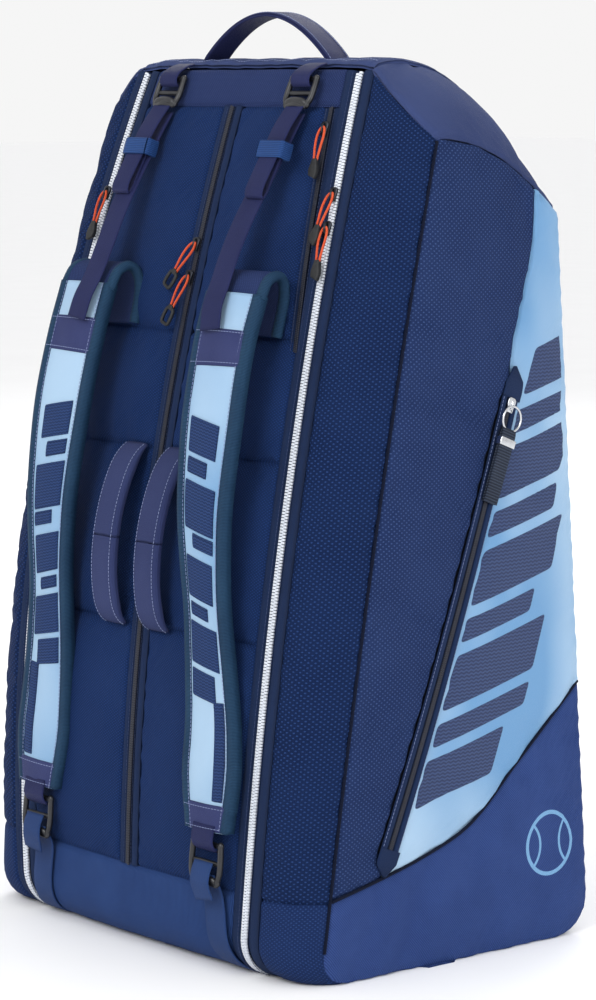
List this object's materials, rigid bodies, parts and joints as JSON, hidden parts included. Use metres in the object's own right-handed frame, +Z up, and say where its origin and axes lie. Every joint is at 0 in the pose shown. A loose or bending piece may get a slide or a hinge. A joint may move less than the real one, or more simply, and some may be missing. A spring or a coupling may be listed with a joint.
{
  "type": "racket tournament bag",
  "caption": "Tall upright racket bag with padded backpack straps, two swinging side covers closed by long zips, a centre compartment, pockets, grips and a grab handle.",
  "frame": {"origin": "middle of the flat base, on the floor", "axes": "+Z up along the bag, -Y the front with the straps, +X to the right seen from the front"},
  "size_m": [0.4738, 0.3427, 0.806],
  "materials": {
    "textured_cloth": "matte",
    "plain_cloth": "matte",
    "lining": "matte",
    "webbing": "matte",
    "elastic": "satin",
    "strap_padding": "matte",
    "zip_white": "gloss",
    "zip_dark": "gloss",
    "black_plastic": "gloss",
    "slider_metal": "gloss",
    "ring_metal": "polished",
    "cord": "matte"
  },
  "bodies": {
    "root": {"base_panel": "textured_cloth", "bottom_yoke": "textured_cloth", "lower_front_panels": "textured_cloth", "grip_front_panels": "textured_cloth", "strap_front_panels": "textured_cloth", "upper_front_panels": "textured_cloth", "top_yoke": "textured_cloth", "top_panel": "plain_cloth", "back_panel": "plain_cloth", "left_divider": "lining", "right_divider": "lining", "centre_zip": "zip_dark", "left_zip_inner": "zip_white", "right_zip_inner": "zip_white", "front_pocket": "lining", "front_pocket_zip": "zip_dark", "left_lifter_webbing": "webbing", "right_lifter_webbing": "webbing", "elastic_keepers": "elastic", "lifter_anchors": "webbing", "left_strap_root": "strap_padding", "right_strap_root": "strap_padding", "left_lower_webbing": "webbing", "right_lower_webbing": "webbing", "handle_anchors": "webbing", "grip_anchors": "webbing"},
    "left_cover": {"left_side_panel": "textured_cloth", "left_gusset": "textured_cloth", "left_shoulder": "plain_cloth", "left_zip_outer": "zip_white"},
    "left_strap": {"left_strap": "strap_padding"},
    "left_strap_lock": {"left_strap_lock": "black_plastic"},
    "left_lifter_lock": {"left_lifter_lock": "black_plastic"},
    "left_grip": {"left_grip": "webbing"},
    "right_cover": {"right_side_panel": "textured_cloth", "right_gusset": "textured_cloth", "right_shoulder": "plain_cloth", "right_zip_outer": "zip_white", "side_pocket": "lining", "side_pocket_zip": "zip_dark"},
    "right_strap": {"right_strap": "strap_padding"},
    "right_strap_lock": {"right_strap_lock": "black_plastic"},
    "right_lifter_lock": {"right_lifter_lock": "black_plastic"},
    "right_grip": {"right_grip": "webbing"},
    "top_handle": {"top_handle": "webbing"},
    "centre_upper_slider": {"centre_upper_slider": "slider_metal"},
    "centre_upper_pull": {"centre_upper_pull": "cord"},
    "centre_lower_slider": {"centre_lower_slider": "slider_metal"},
    "centre_lower_pull": {"centre_lower_pull": "cord"},
    "right_upper_slider": {"right_upper_slider": "slider_metal"},
    "right_upper_pull": {"right_upper_pull": "cord"},
    "right_lower_slider": {"right_lower_slider": "slider_metal"},
    "right_lower_pull": {"right_lower_pull": "cord"},
    "left_zip_slider": {"left_zip_slider": "slider_metal"},
    "left_zip_pull": {"left_zip_pull": "cord"},
    "front_pocket_slider": {"front_pocket_slider": "slider_metal"},
    "front_pocket_pull": {"front_pocket_pull": "cord"},
    "side_pocket_slider": {"side_pocket_slider": "ring_metal"},
    "side_pocket_pull": {"side_pocket_ring": "ring_metal", "side_pocket_loop": "webbing"}
  },
  "joints": [
    {"name": "right_cover_hinge", "type": "hinge", "parent": "root", "child": "right_cover", "pos_m": [0.238, 0.165, 0], "axis": [-0.0419, -0.034, 0.9985], "range_deg": [0, 30]},
    {"name": "left_cover_hinge", "type": "hinge", "parent": "root", "child": "left_cover", "pos_m": [-0.238, 0.165, 0], "axis": [-0.0419, 0.034, -0.9985], "range_deg": [0, 30]},
    {"name": "right_strap_lift", "type": "hinge", "parent": "root", "child": "right_strap", "pos_m": [0.099, -0.1264, 0.571], "axis": [-1, 0, 0], "range_deg": [0, 20]},
    {"name": "right_strap_lock_tilt", "type": "hinge", "parent": "right_strap", "child": "right_strap_lock", "pos_m": [0.116, -0.17447, 0.112], "axis": [-1, 0, 0], "range_deg": [0, 40]},
    {"name": "right_lifter_lock_tilt", "type": "hinge", "parent": "root", "child": "right_lifter_lock", "pos_m": [0.087, -0.03706, 0.747], "axis": [-1, 0, 0], "range_deg": [0, 30]},
    {"name": "right_grip_swing", "type": "hinge", "parent": "root", "child": "right_grip", "pos_m": [0.029, -0.16381, 0.292], "axis": [0, 0.1654, 0.9862], "range_deg": [-24, 24], "stiffness_Nm_per_rad": 0.02},
    {"name": "left_strap_lift", "type": "hinge", "parent": "root", "child": "left_strap", "pos_m": [-0.099, -0.1264, 0.571], "axis": [-1, 0, 0], "range_deg": [0, 20]},
    {"name": "left_strap_lock_tilt", "type": "hinge", "parent": "left_strap", "child": "left_strap_lock", "pos_m": [-0.116, -0.17447, 0.112], "axis": [-1, 0, 0], "range_deg": [0, 40]},
    {"name": "left_lifter_lock_tilt", "type": "hinge", "parent": "root", "child": "left_lifter_lock", "pos_m": [-0.087, -0.03706, 0.747], "axis": [-1, 0, 0], "range_deg": [0, 30]},
    {"name": "left_grip_swing", "type": "hinge", "parent": "root", "child": "left_grip", "pos_m": [-0.029, -0.16381, 0.292], "axis": [0, 0.1654, 0.9862], "range_deg": [-24, 24], "stiffness_Nm_per_rad": 0.02},
    {"name": "top_handle_swing", "type": "hinge", "parent": "root", "child": "top_handle", "pos_m": [0, 0.005, 0.766], "axis": [1, 0, 0], "range_deg": [-38, 38], "stiffness_Nm_per_rad": 0.05},
    {"name": "centre_upper_slide", "type": "slide", "parent": "root", "child": "centre_upper_slider", "axis": [0, 0.2841, 0.9588], "range_m": [0, 0.06]},
    {"name": "centre_upper_pull_swing", "type": "hinge", "parent": "centre_upper_slider", "child": "centre_upper_pull", "pos_m": [0, -0.09126, 0.60788], "axis": [-0.866, 0.142, 0.4794], "range_deg": [0, 110]},
    {"name": "centre_lower_slide", "type": "slide", "parent": "root", "child": "centre_lower_slider", "axis": [0, 0.2709, 0.9626], "range_m": [-0.06, 0]},
    {"name": "centre_lower_pull_swing", "type": "hinge", "parent": "centre_lower_slider", "child": "centre_lower_pull", "pos_m": [0, -0.09937, 0.57979], "axis": [-0.9397, 0.0927, 0.3292], "range_deg": [0, 110]},
    {"name": "right_upper_slide", "type": "slide", "parent": "root", "child": "right_upper_slider", "axis": [-0.0768, 0.3136, 0.9465], "range_m": [0, 0.04]},
    {"name": "right_upper_pull_swing", "type": "hinge", "parent": "right_upper_slider", "child": "right_upper_pull", "pos_m": [0.14935, -0.06778, 0.65408], "axis": [-0.986, 0.0524, 0.1583], "range_deg": [0, 110]},
    {"name": "right_lower_slide", "type": "slide", "parent": "root", "child": "right_lower_slider", "axis": [-0.0702, 0.3006, 0.9512], "range_m": [-0.06, 0]},
    {"name": "right_lower_pull_swing", "type": "hinge", "parent": "right_lower_slider", "child": "right_lower_pull", "pos_m": [0.15151, -0.07681, 0.62599], "axis": [-0.9975, -0.0212, -0.067], "range_deg": [0, 110]},
    {"name": "left_zip_slide", "type": "slide", "parent": "root", "child": "left_zip_slider", "axis": [0.0754, 0.3108, 0.9475], "range_m": [-0.06, 0.06]},
    {"name": "left_zip_pull_swing", "type": "hinge", "parent": "left_zip_slider", "child": "left_zip_pull", "pos_m": [-0.14983, -0.06975, 0.64806], "axis": [-0.9972, 0.0235, 0.0716], "range_deg": [0, 110]},
    {"name": "front_pocket_slide", "type": "slide", "parent": "root", "child": "front_pocket_slider", "axis": [-0.1039, 0.3384, 0.9352], "range_m": [-0.035, 0]},
    {"name": "front_pocket_pull_swing", "type": "hinge", "parent": "front_pocket_slider", "child": "front_pocket_pull", "pos_m": [0.12144, -0.05073, 0.70825], "axis": [-0.9946, -0.0354, -0.0977], "range_deg": [0, 110]},
    {"name": "side_pocket_slide", "type": "slide", "parent": "right_cover", "child": "side_pocket_slider", "axis": [-0.0378, 0.3573, 0.9332], "range_m": [-0.075, 0]},
    {"name": "side_pocket_pull_swing", "type": "hinge", "parent": "side_pocket_slider", "child": "side_pocket_pull", "pos_m": [0.22979, 0.07064, 0.47368], "axis": [0, -0.9339, 0.3576], "range_deg": [0, 100]}
  ]
}
